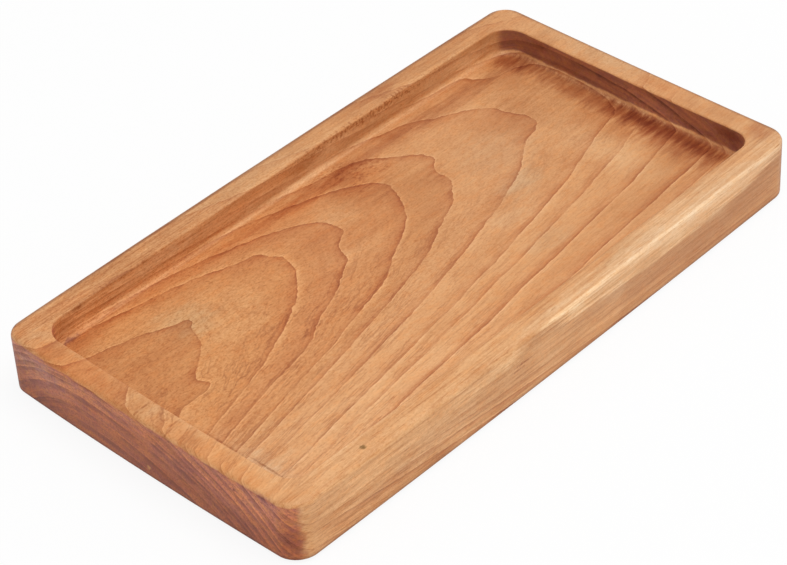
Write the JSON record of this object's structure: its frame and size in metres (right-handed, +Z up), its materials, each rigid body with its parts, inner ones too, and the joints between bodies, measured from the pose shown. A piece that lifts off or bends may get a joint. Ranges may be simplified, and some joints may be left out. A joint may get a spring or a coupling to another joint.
{
  "type": "wooden tray",
  "caption": "Small rectangular tray carved from a single thick board, with a flat rim round a shallow straight-walled pocket, on low rubber bumper feet.",
  "frame": {"origin": "on the surface the tray stands on, below the middle of the board", "axes": "+X along the board's length, to the far end; +Y across it, to the left side; +Z up"},
  "size_m": [0.28, 0.152, 0.0272],
  "materials": {
    "teak": "sanded smooth and lightly oiled",
    "foot_rubber": "matt"
  },
  "bodies": {
    "root": {"tray_board": "teak", "foot_near_right": "foot_rubber", "foot_near_left": "foot_rubber", "foot_far_right": "foot_rubber", "foot_far_left": "foot_rubber"}
  },
  "joints": []
}
